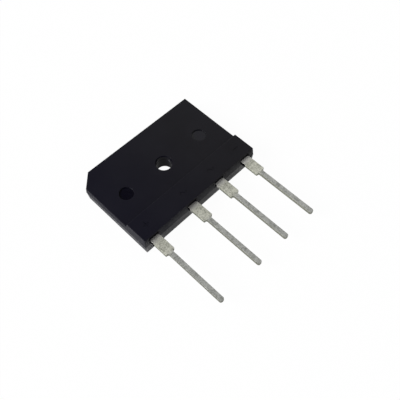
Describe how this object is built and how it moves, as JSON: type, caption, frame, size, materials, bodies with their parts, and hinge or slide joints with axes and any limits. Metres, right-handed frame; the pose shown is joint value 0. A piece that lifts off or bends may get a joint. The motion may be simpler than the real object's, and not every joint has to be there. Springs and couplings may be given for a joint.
{
  "type": "bridge rectifier",
  "caption": "Flat black single-in-line bridge rectifier: moulded case with cut corner, raised foot and screw hole, and flat tinned leads with shoulders.",
  "frame": {"origin": "centre of the mounting hole on the rear (heat sink) face", "axes": "+Z out of the marked front face along the mounting hole, leads along -Y, positive lead on the -X side"},
  "size_m": [0.03, 0.0373, 0.0046],
  "materials": {
    "epoxy": "spark-eroded matte moulding compound, black",
    "tinned_lead": "satin electroplated tin over copper",
    "silicon": "grey glass-passivated silicon",
    "copper_clip": "bare stamped copper",
    "solder": "dull reflowed solder"
  },
  "bodies": {
    "root": {"case": "epoxy", "positive_lead": "tinned_lead", "ac_lead_1": "tinned_lead", "ac_lead_2": "tinned_lead", "negative_lead": "tinned_lead", "die_1": "silicon", "die_2": "silicon", "die_3": "silicon", "die_4": "silicon", "ac_clip_1": "copper_clip", "ac_clip_2": "copper_clip", "negative_clip": "copper_clip", "die_solder_1": "solder", "die_solder_2": "solder", "die_solder_3": "solder", "die_solder_4": "solder", "top_solder_1": "solder", "top_solder_2": "solder", "top_solder_3": "solder", "top_solder_4": "solder", "foot_solder_1": "solder", "foot_solder_2": "solder", "foot_solder_3": "solder"}
  },
  "joints": []
}
